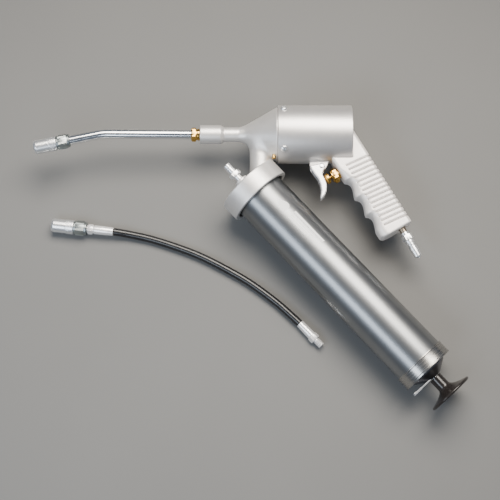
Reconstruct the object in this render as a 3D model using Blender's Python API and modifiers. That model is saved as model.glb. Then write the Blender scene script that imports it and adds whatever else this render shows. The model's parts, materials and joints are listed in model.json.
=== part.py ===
"""Air operated grease gun with a bent delivery pipe, and a loose flexible hose beside it.

The gun lies on its side. In its own frame the air motor's axis is the X axis with +X to the rear,
the barrel and the grip lie in the XY plane, and +Z runs across the gun, away from the bench.
Sizes are in millimetres, and MM turns them into Blender's metres.
"""
from math import cos, pi, radians, sin, sqrt

import bmesh
import bpy
from mathutils import Matrix, Vector

MM = 0.001
MERGE = 0.00001           # merge distance for turned and welded pieces, in metres
GAP = 0.3                 # air between pieces that touch on the real gun
RUNNING = 0.1             # radial clearance of a rod in its bush
FINE, MEDIUM, COARSE = 32, 16, 12
DRILL_TURN = radians(8)   # keeps a hole's facets out of line with those of the wall it goes through

# Front of the motor's axis, with the gun's box centred over the origin and resting on Z = 0
GUN_ORIGIN = (33.572, 133.565, 34.836)

# Air motor
SLEEVE_R = 31.7
SLEEVE_BORE = 28.7
SLEEVE_REAR = 80.2
SPIGOT_REAR = 14.0        # rear face of the head's spigot inside the sleeve
PISTON_FRONT, PISTON_REAR = 60.0, 68.0
PLUNGER_R = 3.5
PLUNGER_TIP = -24.0
SCREW_X = 6.6
SCREW_ANGLES = (45, 135, 225, 315)

# Head casting
BOSS_FRONT, BOSS_REAR, BOSS_R = -84.1, -61.8, 10.2
NECK_FRONT, NECK_REAR, NECK_R = -58.0, -38.5, 7.9
RIM_FRONT, RIM_R = -0.8, 29.3
COLUMN_X, COLUMN_R = -18.8, 11.3
VENT_AT = (-4.2, -27.4, 9.0)
CHECK_BORE = 5.0
CHECK_SEAT = -58.0

# Barrel and collar: distances run down the barrel from the collar's top face
BARREL_TOP = (-32.4, -54.15)
BARREL_ANGLE = -47.04
COLLAR_R, COLLAR_LENGTH, COLLAR_MOUTH = 36.0, 20.5, 31.3
BARREL_R, BARREL_BORE = 28.5, 27.4
BARREL_START, BARREL_END = 7.3, 275.6
CAP_R, CAP_START, CAP_END = 30.0, 263.0, 277.6
DOME_R, DOME_START, DOME_TIP_R, DOME_END = 20.5, 278.8, 7.4, 287.0
ROD_R, ROD_START, ROD_END = 4.0, 11.0, 300.0
LOCK_LOW, LOCK_HIGH = 284.9, 286.5
LOCK_TAB = 28.7
LOCK_FULCRUM = 6.3
HANDLE_START, HANDLE_END, HANDLE_R = 287.4, 312.0, 25.5
NIPPLE_N, NIPPLE_Z = -7.6, 22.0

# Grip: distances along its straight back, and depth forwards from the back
GRIP_TOP = (83.7, -0.4)
GRIP_ANGLE = -59.27
GRIP_START, GRIP_END = -5.0, 115.0
GRIP_DEPTH, GRIP_HALF = 37.5, 13.0
FINGER_START, FINGER_PITCH, FINGER_COUNT, FINGER_DEPTH = 40.3, 21.8, 3, 3.6
INLET_AT, INLET_ANGLE = (132.7, -104.9), -60.9

# Trigger and air valve
PIVOT = (47.4, -37.2)
TRIGGER_HALF = 6.3
EAR_R = 3.6
LUG_HALF = 4.0            # lug of the sleeve, between the trigger's two ears
VALVE_AT, VALVE_ANGLE = (50.9, -51.2), 25.5

# Delivery pipe and coupler
PIPE_R, PIPE_BORE = 5.0, 2.0
PIPE_START = -88.6
PIPE_BEND = (-190.6, 0.8)
PIPE_BEND_R = 60.0
COUPLER_AT, COUPLER_ANGLE = (-225.6, -6.6), -167.9

# Loose hose, which lies on the bench
HOSE_R = 4.2
HOSE_COUPLER_AT, HOSE_COUPLER_ANGLE, HOSE_COUPLER_Z = (-176.1, 36.6), 173.2, 8.0
HOSE_END_AT, HOSE_END_ANGLE, HOSE_END_Z = (56.2, -69.2), -46.5, 5.0
HOSE_POINTS = 24
HOSE_ROUTE = (
    (-146.6, 33.1, 8.0), (-140.8, 32.3, 7.4), (-129.3, 30.4, 5.6), (-107.2, 25.5, 4.4),
    (-79.6, 16.6, 4.3), (-52.2, 5.8, 4.3), (-24.8, -8.3, 4.3), (2.4, -24.5, 4.3),
    (29.4, -44.7, 4.4), (45.5, -59.1, 4.8), (56.0, -69.0, 5.0),
)

# Colour, roughness and metallic value
CAST = ((0.72, 0.72, 0.72), 0.55, 0.7)
ALLOY = ((0.62, 0.63, 0.66), 0.35, 0.9)
ZINC = ((0.80, 0.82, 0.84), 0.22, 1.0)
STEEL = ((0.55, 0.56, 0.58), 0.3, 1.0)
GUNMETAL = ((0.36, 0.36, 0.37), 0.3, 1.0)
BRASS = ((0.80, 0.56, 0.22), 0.25, 1.0)
BLACK = ((0.02, 0.02, 0.02), 0.25, 0.0)
RUBBER = ((0.03, 0.03, 0.03), 0.6, 0.0)


# ---------------------------------------------------------------- scene and materials

def clear_scene():
    for item in list(bpy.data.objects):
        bpy.data.objects.remove(item, do_unlink=True)


def collection(name):
    made = bpy.data.collections.new(name)
    bpy.context.scene.collection.children.link(made)
    return made


def finish(obj, look):
    """Give a part its own material, or make it a cutter when it has no look."""
    if look is None:
        CUTTERS.objects.link(obj)
        obj.hide_render = True
        obj.display_type = "WIRE"
        return obj
    PARTS.objects.link(obj)
    colour, roughness, metallic = look
    made = bpy.data.materials.new(obj.name)
    made.use_nodes = True
    shader = made.node_tree.nodes["Principled BSDF"]
    shader.inputs["Base Color"].default_value = (*colour, 1.0)
    shader.inputs["Roughness"].default_value = roughness
    shader.inputs["Metallic"].default_value = metallic
    obj.data.materials.append(made)
    return obj


# ---------------------------------------------------------------- frames

def frame_at(name, parent, place, rotation):
    frame = bpy.data.objects.new(name, None)
    PARTS.objects.link(frame)
    frame.parent = parent
    frame.location = Vector(place) * MM
    frame.rotation_euler = rotation.to_euler()
    return frame


def axis_frame(name, parent, point, angle, z=0.0):
    """Empty whose Z runs in its parent's XY plane at an angle, and whose Y is its parent's Z."""
    a = radians(angle)
    turn = Matrix(((-sin(a), 0, cos(a)), (cos(a), 0, sin(a)), (0, 1, 0)))
    return frame_at(name, parent, (point[0], point[1], z), turn)


def along(point, angle, distance, across=0.0):
    """Point at a distance along an angle, and to the left of it by across."""
    a = radians(angle)
    return (point[0] + distance * cos(a) - across * sin(a),
            point[1] + distance * sin(a) + across * cos(a))


def lying_on_its_side():
    """Turn that lays the gun on the collar's rim, the end cap's rim and the sleeve's rear rim."""
    collar = Vector((*along(BARREL_TOP, BARREL_ANGLE, COLLAR_LENGTH - 1.5), -COLLAR_R))
    cap = Vector((*along(BARREL_TOP, BARREL_ANGLE, CAP_END - 0.8), -CAP_R))
    sleeve = Vector((SLEEVE_REAR - 0.8, 0.0, -SLEEVE_R))
    up = (cap - collar).cross(sleeve - collar).normalized()
    x_axis = (Vector((1, 0, 0)) - up * up.x).normalized()
    return Matrix((x_axis, up.cross(x_axis), up))


# ---------------------------------------------------------------- shapes

def turned(name, frame, profile, look=None, steps=MEDIUM):
    """Solid turned about the frame's Z: (radius, height) points, outer side from top to bottom."""
    count = len(profile)
    edges = [(i, i + 1) for i in range(count - 1)]
    if profile[0][0] > 0:
        edges.append((count - 1, 0))
    mesh = bpy.data.meshes.new(name)
    mesh.from_pydata([(r * MM, 0, z * MM) for r, z in profile], edges, [])
    obj = bpy.data.objects.new(name, mesh)
    obj.parent = frame
    screw = obj.modifiers.new("Turn", "SCREW")
    screw.axis = "Z"
    screw.steps = screw.render_steps = steps
    screw.use_merge_vertices = True
    screw.merge_threshold = MERGE
    return finish(obj, look)


def rod(low, high, radius):
    """Profile of a plain rod."""
    return [(0, high), (radius, high), (radius, low), (0, low)]


def ring(low, high, bore, radius):
    """Profile of a plain ring."""
    return [(radius, high), (radius, low), (bore, low), (bore, high)]


def mesh_part(name, frame, bm, look=None):
    mesh = bpy.data.meshes.new(name)
    bm.to_mesh(mesh)
    bm.free()
    obj = bpy.data.objects.new(name, mesh)
    obj.parent = frame
    return finish(obj, look)


def prism(name, frame, across_flats, low, high, look=None, sides=6):
    bm = bmesh.new()
    radius = across_flats / 2 / cos(pi / sides) * MM
    middle = Matrix.Translation((0, 0, (low + high) / 2 * MM)) @ Matrix.Rotation(pi / sides, 4, "Z")
    bmesh.ops.create_cone(bm, cap_ends=True, segments=sides, radius1=radius, radius2=radius,
                          depth=(high - low) * MM, matrix=middle)
    return mesh_part(name, frame, bm, look)


def block(name, frame, low, high, look=None):
    bm = bmesh.new()
    low, high = Vector(low) * MM, Vector(high) * MM
    fit = Matrix.Translation((low + high) / 2) @ Matrix.Diagonal((*(high - low), 1))
    bmesh.ops.create_cube(bm, size=1.0, matrix=fit)
    return mesh_part(name, frame, bm, look)


def drill(name, frame, start, end, radius, steps=COARSE):
    """Straight round cutter from one point to another."""
    start, end = Vector(start) * MM, Vector(end) * MM
    run = end - start
    turn = run.to_track_quat("Z", "Y").to_matrix().to_4x4() @ Matrix.Rotation(DRILL_TURN, 4, "Z")
    bm = bmesh.new()
    bmesh.ops.create_cone(bm, cap_ends=True, segments=steps, radius1=radius * MM,
                          radius2=radius * MM, depth=run.length,
                          matrix=Matrix.Translation((start + end) / 2) @ turn)
    return mesh_part(name, frame, bm)


def from_curve(name, frame, curve, look):
    """Closed mesh made from a curve, with its loose caps welded."""
    holder = bpy.data.objects.new(name + "_curve", curve)
    bpy.context.scene.collection.objects.link(holder)
    shape = holder.evaluated_get(bpy.context.evaluated_depsgraph_get())
    mesh = bpy.data.meshes.new_from_object(shape)
    bpy.data.objects.remove(holder, do_unlink=True)
    bm = bmesh.new()
    bm.from_mesh(mesh)
    bmesh.ops.remove_doubles(bm, verts=bm.verts, dist=MERGE)
    return mesh_part(name, frame, bm, look)


def slab(name, frame, outline, low, high, look=None):
    """Flat outline in the frame's XY plane, thickened from low to high along Z."""
    curve = bpy.data.curves.new(name, "CURVE")
    curve.dimensions = "2D"
    curve.fill_mode = "BOTH"
    curve.extrude = (high - low) / 2 * MM
    spline = curve.splines.new("POLY")
    spline.points.add(len(outline) - 1)
    for point, (x, y) in zip(spline.points, outline):
        point.co = (x * MM, y * MM, 0, 1)
    spline.use_cyclic_u = True
    made = from_curve(name, frame, curve, look)
    made.location.z = (low + high) / 2 * MM
    return made


def tube_curve(name, points, radius, sides_step=2):
    curve = bpy.data.curves.new(name, "CURVE")
    curve.dimensions = "3D"
    curve.bevel_depth = radius * MM
    curve.bevel_resolution = sides_step
    curve.use_fill_caps = True
    spline = curve.splines.new("POLY")
    spline.points.add(len(points) - 1)
    for point, place in zip(spline.points, points):
        point.co = (*(Vector(place) * MM), 1)
    return curve


def wire(name, frame, points, radius, look=None, sides_step=2):
    """Round bar along a run of points, as a closed mesh."""
    return from_curve(name, frame, tube_curve(name, points, radius, sides_step), look)


def coil(name, frame, radius, wire_radius, turns, low, high, look, per_turn=9):
    """Helical spring about the frame's Z, measured over its wire ends."""
    steps = turns * per_turn
    low, high = low + wire_radius, high - wire_radius
    points = [(radius * cos(2 * pi * i / per_turn), radius * sin(2 * pi * i / per_turn),
               low + (high - low) * i / steps) for i in range(steps + 1)]
    return wire(name, frame, points, wire_radius, look)


def loft(name, frame, rings, look=None):
    """Closed skin over rings of equal count, given from bottom to top and counter-clockwise."""
    bm = bmesh.new()
    rows = [[bm.verts.new(Vector(point) * MM) for point in row] for row in rings]
    count = len(rows[0])
    for below, above in zip(rows, rows[1:]):
        for i in range(count):
            j = (i + 1) % count
            bm.faces.new((below[i], below[j], above[j], above[i]))
    bm.faces.new(list(reversed(rows[0])))
    bm.faces.new(rows[-1])
    return mesh_part(name, frame, bm, look)


def combine(obj, operation, *tools):
    for tool in tools:
        step = obj.modifiers.new(tool.name, "BOOLEAN")
        step.operation = operation
        step.object = tool
        step.solver = "EXACT"


def union(obj, *tools):
    combine(obj, "UNION", *tools)


def cut(obj, *tools):
    combine(obj, "DIFFERENCE", *tools)


# ---------------------------------------------------------------- head, motor and grip

def head_casting(gun, motor, barrel):
    head = turned("head_casting", motor, [
        (0, SPIGOT_REAR), (SLEEVE_BORE - GAP, SPIGOT_REAR), (SLEEVE_BORE - GAP, 0), (RIM_R, 0),
        (RIM_R, RIM_FRONT), (NECK_R, NECK_REAR), (NECK_R, NECK_FRONT), (BOSS_R, BOSS_REAR),
        (BOSS_R, BOSS_FRONT + 0.8), (BOSS_R - 0.8, BOSS_FRONT), (0, BOSS_FRONT)], CAST, FINE)
    down = axis_frame("column_axis", gun, (COLUMN_X, 0), -90)
    column = turned("column", down, rod(6.0, 57.0, COLUMN_R))
    cut(column, turned("column_end", barrel, rod(2.6, 60.0, 34.0), steps=MEDIUM))
    collar = turned("collar", barrel, [
        (0, 5.0), (BARREL_R + GAP, 5.0), (BARREL_R + GAP, 13.0), (COLLAR_MOUTH, 14.0),
        (COLLAR_MOUTH, COLLAR_LENGTH), (COLLAR_R - 1.5, COLLAR_LENGTH),
        (COLLAR_R, COLLAR_LENGTH - 1.5), (COLLAR_R, 1.2), (COLLAR_R - 1.2, 0), (0, 0)],
        steps=FINE)
    pad_frame = frame_at("nipple_axis", barrel, (NIPPLE_N, NIPPLE_Z, 0), Matrix.Identity(3))
    pad = turned("nipple_pad", pad_frame, rod(-3.0, 2.0, 7.2))
    union(head, column, collar, pad)
    bores = turned("motor_bores", motor, [
        (0, SPIGOT_REAR + 1), (8.0, SPIGOT_REAR + 1), (8.0, 2.0), (PLUNGER_R + RUNNING, 2.0),
        (PLUNGER_R + RUNNING, CHECK_SEAT), (CHECK_BORE, CHECK_SEAT),
        (CHECK_BORE, BOSS_FRONT - 1), (0, BOSS_FRONT - 1)])
    feed = drill("feed_passage", gun, (-20.0, 0, 0), (-20.0, -68.0, 0), 3.0)
    nipple_hole = drill("nipple_hole", pad_frame, (0, 0, -4), (0, 0, 6), 2.6)
    x, y, z = VENT_AT
    vent_hole = drill("vent_hole", gun, (x, y + 6.4, z), (x, y - 2.6, z), 1.9)
    holes = [drill(f"spigot_hole_{angle}", motor, polar(angle, 22.0), polar(angle, 34.0), 2.3)
             for angle in SCREW_ANGLES]
    cut(head, bores, feed, nipple_hole, vent_hole, *holes)
    return pad_frame


def polar(angle, radius):
    """Point on the motor's frame at the sleeve screws, at an angle about the axis."""
    a = radians(angle)
    return (radius * cos(a), radius * sin(a), SCREW_X)


def motor_sleeve(gun, motor):
    sleeve = turned("motor_sleeve", motor, [
        (0, SLEEVE_REAR), (SLEEVE_R - 0.8, SLEEVE_REAR), (SLEEVE_R, SLEEVE_REAR - 0.8),
        (SLEEVE_R, GAP), (0, GAP)], ALLOY, FINE)
    lug = slab("trigger_lug", gun, [
        (34.7, -26.0), (34.7, -36.8), (38.0, -39.6), (43.0, -41.2), (49.5, -41.2),
        (52.2, -38.2), (55.3, -31.0), (55.3, -26.0)], -LUG_HALF, LUG_HALF)
    bore = turned("sleeve_bore", motor, rod(-1, SLEEVE_REAR + 1, SLEEVE_BORE), steps=FINE)
    pin_hole = drill("lug_pin_hole", gun, (*PIVOT, -5), (*PIVOT, 5), 1.8)
    holes = [drill(f"sleeve_hole_{angle}", motor, polar(angle, 26.0), polar(angle, 34.0), 2.3)
             for angle in SCREW_ANGLES]
    union(sleeve, lug)
    cut(sleeve, bore, pin_hole, *holes)


def sleeve_screws(motor):
    """Round-head screws that hold the sleeve on the head's spigot."""
    for number, angle in enumerate(SCREW_ANGLES, 1):
        a = radians(angle)
        outward = Vector((cos(a), sin(a), 0))
        turn = outward.to_track_quat("Z", "Y").to_matrix()
        place = frame_at(f"screw_axis_{number}", motor, polar(angle, 0), turn)
        seat = SLEEVE_R + 0.1
        turned(f"sleeve_screw_{number}", place, [
            (0, seat + 2.3), (2.0, seat + 2.2), (3.4, seat + 1.4), (3.9, seat), (2.0, seat),
            (2.0, 23.0), (0, 23.0)], ZINC, COARSE)


def grip_section(distance):
    """Rounded section of the grip at a distance along its back, as points in the grip's frame."""
    front = GRIP_DEPTH
    fraction = (distance - FINGER_START) / FINGER_PITCH
    if 0 < fraction < FINGER_COUNT:
        front -= FINGER_DEPTH * sin(pi * (fraction % 1) ** 0.6)
    end = max(0.0, distance - (GRIP_END - 4.0))
    inset = 4.0 - sqrt(16.0 - end * end)
    front -= inset
    back, half = inset * 0.5, GRIP_HALF - inset * 0.5
    points = []
    for i in range(20):
        a = 2 * pi * i / 20
        reach = (abs(cos(a)) ** 3.2 + abs(sin(a)) ** 3.2) ** (-1 / 3.2)
        across = (front + back) / 2 + (front - back) / 2 * reach * cos(a)
        points.append((-across, half * reach * sin(a), distance))
    return points


def grip_casting(gun, motor, grip):
    stations = [GRIP_START, 12.0, 26.0, FINGER_START]
    for finger in range(FINGER_COUNT):
        start = FINGER_START + finger * FINGER_PITCH
        stations += [start + FINGER_PITCH * f for f in (0.06, 0.16, 0.32, 0.52, 0.74, 1.0)]
    stations += [GRIP_END - 4.0, GRIP_END - 1.2, GRIP_END]
    casting = loft("grip_casting", grip, [grip_section(s)[::-1] for s in stations], CAST)
    clearance = turned("sleeve_clearance", motor, [
        (0, 78.0), (SLEEVE_BORE - 2.0, 78.0), (SLEEVE_BORE - 2.0, SLEEVE_REAR + GAP),
        (SLEEVE_R + GAP, SLEEVE_REAR + GAP), (SLEEVE_R + GAP, -20), (0, -20)], steps=FINE)
    plug = turned("sleeve_plug", motor, rod(71.0, 79.6, SLEEVE_BORE - GAP), steps=FINE)
    cut(casting, clearance)
    union(casting, plug)
    valve_end = along(VALVE_AT, VALVE_ANGLE, 34.0)
    chamber = drill("valve_chamber", gun, (*along(VALVE_AT, VALVE_ANGLE, 12.0), 0),
                    (*valve_end, 0), 5.6)
    inlet_end = along(INLET_AT, INLET_ANGLE, 2.0)
    socket = drill("inlet_socket", gun, (*along(INLET_AT, INLET_ANGLE, -14.0), 0),
                   (*inlet_end, 0), 4.8)
    air_feed = drill("air_feed", gun, (*along(INLET_AT, INLET_ANGLE, -10.0), 0),
                     (*along(VALVE_AT, VALVE_ANGLE, 31.0), 0), 3.0)
    air_port = drill("air_port", gun, (*along(VALVE_AT, VALVE_ANGLE, 32.0), 0),
                     (66.0, -12.0, 0), 2.6)
    cut(casting, chamber, socket, air_feed, air_port)


def motor_parts(motor):
    """Piston, plunger and their seals, with the spring that returns them."""
    moving = axis_frame("piston_axis", motor.parent, (0, 0), 0)
    turned("air_piston", moving, [
        (28.4, PISTON_REAR), (28.4, 66.0), (26.2, 66.0), (26.2, 62.0), (28.4, 62.0),
        (28.4, PISTON_FRONT), (PLUNGER_R + GAP, PISTON_FRONT), (PLUNGER_R + GAP, PISTON_REAR)],
        ALLOY, FINE)
    turned("piston_seal", moving, ring(62.3, 65.7, 26.5, 28.55), RUBBER, FINE)
    turned("plunger", moving, [
        (0, 70.0), (6.0, 70.0), (6.0, PISTON_REAR + GAP), (PLUNGER_R, PISTON_REAR + GAP),
        (PLUNGER_R, PLUNGER_TIP + 0.5), (PLUNGER_R - 0.5, PLUNGER_TIP), (0, PLUNGER_TIP)], STEEL)
    turned("plunger_bush", motor, ring(2.3, 12.0, PLUNGER_R + RUNNING, 7.7), BRASS)
    coil("return_spring", motor, 14.0, 1.1, 6, SPIGOT_REAR + GAP, PISTON_FRONT - GAP, STEEL)


# ---------------------------------------------------------------- outlet, pipe and couplers

def outlet_parts(motor):
    check = axis_frame("outlet_check_axis", motor.parent, (CHECK_SEAT - 2.7, 0), 180)
    ball("outlet_check_ball", check, 4.2, STEEL)
    front = axis_frame("outlet_axis", motor.parent, (BOSS_FRONT, 0), 180)
    coil("outlet_spring", front, 3.2, 0.5, 4, -18.6, -13.0, STEEL, per_turn=8)
    adapter = turned("outlet_adapter", front, [
        (0, 9.0), (6.45, 9.0), (6.45, GAP), (CHECK_BORE - GAP, GAP), (CHECK_BORE - GAP, -12.5),
        (0, -12.5)], BRASS)
    hexagon = prism("adapter_hexagon", front, 14.0, 3.6, 9.5)
    hexagon_bore = turned("adapter_bore", front, [
        (0, 11), (PIPE_R + GAP, 11), (PIPE_R + GAP, 4.2), (2.2, 4.2), (2.2, -14), (0, -14)])
    union(adapter, hexagon)
    cut(adapter, hexagon_bore)


def ball(name, frame, radius, look):
    bm = bmesh.new()
    bmesh.ops.create_uvsphere(bm, u_segments=12, v_segments=8, radius=radius * MM)
    return mesh_part(name, frame, bm, look)


def pipe_points():
    """Centre line of the delivery pipe, with its bend as an arc."""
    start = Vector((PIPE_START, 0))
    corner = Vector(PIPE_BEND)
    end = Vector(along(COUPLER_AT, COUPLER_ANGLE, 7.0))
    first, second = (corner - start).normalized(), (end - corner).normalized()
    half = first.angle(second) / 2
    tangent = PIPE_BEND_R * sin(half) / cos(half)
    arc_start = corner - first * tangent
    side = Vector((-first.y, first.x))
    centre = arc_start + side * PIPE_BEND_R
    points = [start]
    for i in range(7):
        swing = 2 * half * i / 6
        points.append(centre - side * PIPE_BEND_R * cos(swing) + first * PIPE_BEND_R * sin(swing))
    points.append(end)
    return [(p.x, p.y, 0.0) for p in points]


def delivery_pipe(gun):
    points = pipe_points()
    pipe = wire("delivery_pipe", gun, points, PIPE_R, ZINC, 4)
    ends = [Vector(points[0]), Vector(points[-1])]
    ends[0] += (ends[0] - Vector(points[1])).normalized() * 2
    ends[1] += (ends[1] - Vector(points[-2])).normalized() * 2
    inner = [tuple(ends[0])] + points[1:-1] + [tuple(ends[1])]
    cut(pipe, wire("pipe_bore", gun, inner, PIPE_BORE, None, 2))


def coupler(prefix, frame, socket_r, sleeve_frame):
    """Hydraulic coupler: body with a hexagon, slotted jaws, rubber seal and turning nose sleeve."""
    body = turned(prefix + "coupler_body", frame, [
        (0, 18.6), (4.2, 18.6), (4.2, 14.2), (7.2, 14.2), (7.2, 0.4), (6.8, 0), (0, 0)], ZINC)
    hexagon = prism(prefix + "body_hexagon", frame, 14.6, 2.6, 12.4)
    bore = turned(prefix + "body_bore", frame, [
        (0, 20.0), (2.0, 20.0), (2.0, 9.0), (socket_r, 9.0), (socket_r, -1), (0, -1)])
    union(body, hexagon)
    cut(body, bore)
    turned(prefix + "coupler_seal", frame, ring(19.0, 21.6, 1.6, 4.2), RUBBER)
    jaws = turned(prefix + "coupler_jaws", frame, [
        (3.4, 32.0), (4.6, 32.0), (5.6, 29.0), (5.6, 22.0), (2.4, 22.0), (2.4, 24.0), (3.4, 25.0)],
        STEEL)
    slots = []
    for number, angle in enumerate((30, 150, 270)):
        a = radians(angle)
        slots.append(drill(f"{prefix}jaw_slot_{number}", frame, (2 * cos(a), 2 * sin(a), 33.0),
                           (6.2 * cos(a), 6.2 * sin(a), 33.0), 0.9, 8))
    cut(jaws, *slots)
    turned(prefix + "coupler_sleeve", sleeve_frame, [
        (4.6, 39.2), (6.0, 39.2), (7.1, 38.1), (7.5, 36.2), (7.5, 23.2), (7.9, 23.0),
        (7.9, 14.8), (7.3, 14.5), (4.5, 14.5), (4.5, 18.2), (6.0, 18.8), (6.0, 31.0),
        (4.9, 33.4)], ZINC)


# ---------------------------------------------------------------- trigger and air valve

def trigger_parts(gun):
    pivot = frame_at("trigger_pivot", gun, (*PIVOT, 0), Matrix.Identity(3))
    outline = [(-12.5, 0.7), (-12.3, -1.2), (-10.9, -4.2), (-7.8, -8.9), (-4.1, -13.8),
               (-1.8, -20.0), (-0.8, -27.2), (-1.6, -32.8), (-1.5, -36.0), (0.6, -35.2),
               (3.2, -32.0), (4.8, -27.8), (5.4, -22.2), (4.7, -17.6), (2.9, -13.4),
               (1.0, -9.4), (1.5, -6.2)]
    outline += [(EAR_R * cos(radians(a)), EAR_R * sin(radians(a))) for a in range(-30, 121, 25)]
    lever = slab("trigger", pivot, outline, -TRIGGER_HALF, TRIGGER_HALF, ZINC)
    slot = slab("trigger_slot", pivot, [
        (-16.0, -1.4), (-10.4, -3.9), (-5.0, -5.8), (9.0, -5.8), (9.0, 9.0), (-16.0, 9.0)],
        -LUG_HALF - 0.4, LUG_HALF + 0.4)
    hole = drill("trigger_pin_hole", pivot, (0, 0, -9), (0, 0, 9), 1.85)
    cut(lever, slot, hole)
    turned("trigger_pin", pivot, [
        (0, 7.4), (2.2, 7.1), (2.5, TRIGGER_HALF + 0.2), (1.6, TRIGGER_HALF + 0.2),
        (1.6, -TRIGGER_HALF - 0.2), (1.2, -TRIGGER_HALF - 0.5), (0, -TRIGGER_HALF - 0.5)],
        ZINC, COARSE)


def valve_parts(gun, valve):
    moving = axis_frame("valve_stem_axis", gun, VALVE_AT, VALVE_ANGLE)
    turned("valve_stem", moving, [
        (0, 29.0), (4.0, 29.0), (4.0, 26.5), (1.6, 26.0), (1.6, 5.4), (5.6, 5.4), (5.9, 2.3),
        (5.0, 1.5), (2.0, 0.2), (0, 0.1)], BRASS)
    nut = turned("valve_nut", valve, rod(10.2, 19.5, 5.3), BRASS)
    hexagon = prism("nut_hexagon", valve, 15.0, 8.0, 14.3)
    bore = drill("nut_bore", valve, (0, 0, 6), (0, 0, 21), 1.6 + RUNNING, MEDIUM)
    union(nut, hexagon)
    cut(nut, bore)
    coil("valve_spring", valve, 3.4, 0.4, 3, 29.3, 33.4, STEEL, per_turn=8)


def inlet_parts(inlet):
    turned("air_inlet_bush", inlet, ring(-12.0, 5.0, 2.4, 4.4), BRASS)
    plug = turned("air_inlet_plug", inlet, [
        (0, 35.8), (2.9, 35.8), (4.0, 34.4), (4.2, 22.0), (3.6, 21.4), (3.6, 18.8), (4.4, 18.0),
        (4.4, 5.4), (0, 5.4)], ZINC)
    hexagon = prism("plug_hexagon", inlet, 10.8, 8.0, 14.6)
    bore = drill("plug_bore", inlet, (0, 0, 3), (0, 0, 38), 2.0)
    union(plug, hexagon)
    cut(plug, bore)


def filler_parts(pad_frame):
    """Loader nipple on the collar, which points away from the barrel, with its check ball."""
    up = frame_at("nipple_up", pad_frame, (0, 0, -3.0 - GAP), Matrix.Rotation(pi, 3, "X"))
    nipple = turned("filler_nipple", up, [
        (0, 22.2), (3.1, 22.2), (3.9, 21.0), (3.9, 3.8), (3.7, 3.6), (3.7, 0), (2.3, 0),
        (2.3, -7.2), (0, -7.2)], ZINC)
    hexagon = prism("nipple_hexagon", up, 11.6, 4.0, 9.4)
    bore = turned("nipple_bore", up, [
        (0, 24), (1.7, 24), (1.7, 20.0), (2.8, 18.4), (2.8, 8.0), (1.2, 7.0), (1.2, -9), (0, -9)])
    union(nipple, hexagon)
    cut(nipple, bore)
    check = frame_at("filler_check_axis", up, (0, 0, 18.1), Matrix.Identity(3))
    ball("filler_check_ball", check, 2.2, STEEL)


def vent_plug(gun):
    """Brass vent screwed into the underside of the head's cone."""
    down = frame_at("vent_axis", gun, VENT_AT, Matrix.Rotation(pi / 2, 3, "X"))
    turned("vent_plug", down, [
        (0, 2.4), (1.4, 2.4), (2.2, 1.8), (2.2, 0.6), (1.6, 0.5), (1.6, -4.0), (0, -4.0)],
        BRASS, COARSE)


# ---------------------------------------------------------------- barrel and follower

def barrel_parts(barrel):
    turned("barrel_gasket", barrel, ring(5.3, 7.0, 24.5, BARREL_R), RUBBER, FINE)
    turned("barrel_tube", barrel, ring(BARREL_START, BARREL_END, BARREL_BORE, BARREL_R),
           GUNMETAL, FINE)
    rod_hole = ROD_R + GAP
    cap = turned("barrel_end_cap", barrel, [
        (rod_hole, DOME_END), (DOME_TIP_R, DOME_END), (DOME_R, DOME_START),
        (DOME_R + 0.8, CAP_END), (CAP_R - 0.8, CAP_END), (CAP_R, CAP_END - 0.8),
        (CAP_R, CAP_START), (BARREL_R + GAP, CAP_START), (BARREL_R + GAP, CAP_END - 1.7),
        (rod_hole, CAP_END - 1.7)], STEEL, FINE)
    pocket = turned("lock_pocket", barrel, rod(283.1, 286.8, 7.0))
    slot = block("lock_slot", barrel, (-16, -7.0, 282.6), (0, 7.0, 286.8))
    cut(cap, pocket, slot)
    coil("follower_spring", barrel, 17.0, 1.1, 9, 27.2, CAP_END - 2.2, STEEL, per_turn=8)
    fulcrum = frame_at("rod_lock_axis", barrel, (LOCK_FULCRUM, 0, LOCK_LOW), Matrix.Identity(3))
    outline = [(-LOCK_FULCRUM + 6.2 * cos(radians(a)), 6.2 * sin(radians(a)))
               for a in range(-90, 91, 30)]
    tab = -LOCK_FULCRUM - LOCK_TAB
    outline += [(tab + 2.0, 6.2), (tab, 4.2), (tab, -4.2), (tab + 2.0, -6.2)]
    plate = slab("rod_lock_plate", fulcrum, outline, 0.0, LOCK_HIGH - LOCK_LOW, ZINC)
    hole = drill("lock_hole", fulcrum, (-LOCK_FULCRUM, 0, -4), (-LOCK_FULCRUM, 0, 6), 4.9, MEDIUM)
    cut(plate, hole)


def follower_parts(barrel):
    moving = frame_at("follower_axis", barrel, (0, 0, 0), Matrix.Identity(3))
    turned("follower_rod", moving, rod(ROD_START, ROD_END, ROD_R), ZINC, MEDIUM)
    bore = ROD_R + GAP
    nut = prism("follower_nut", moving, 13.0, 11.4, 15.2, ZINC)
    cut(nut, drill("follower_nut_bore", moving, (0, 0, 10), (0, 0, 17), bore, MEDIUM))
    turned("follower_cup", moving, [
        (bore, 24.0), (22.0, 24.0), (25.5, 21.0), (27.2, 14.0), (27.2, 9.0), (26.0, 9.0),
        (23.0, 15.5), (bore, 15.5)], RUBBER, FINE)
    turned("follower_washer", moving, ring(24.3, 26.6, bore, 21.5), ZINC, FINE)
    turned("follower_handle", moving, handle_profile(bore), BLACK, FINE)


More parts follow.
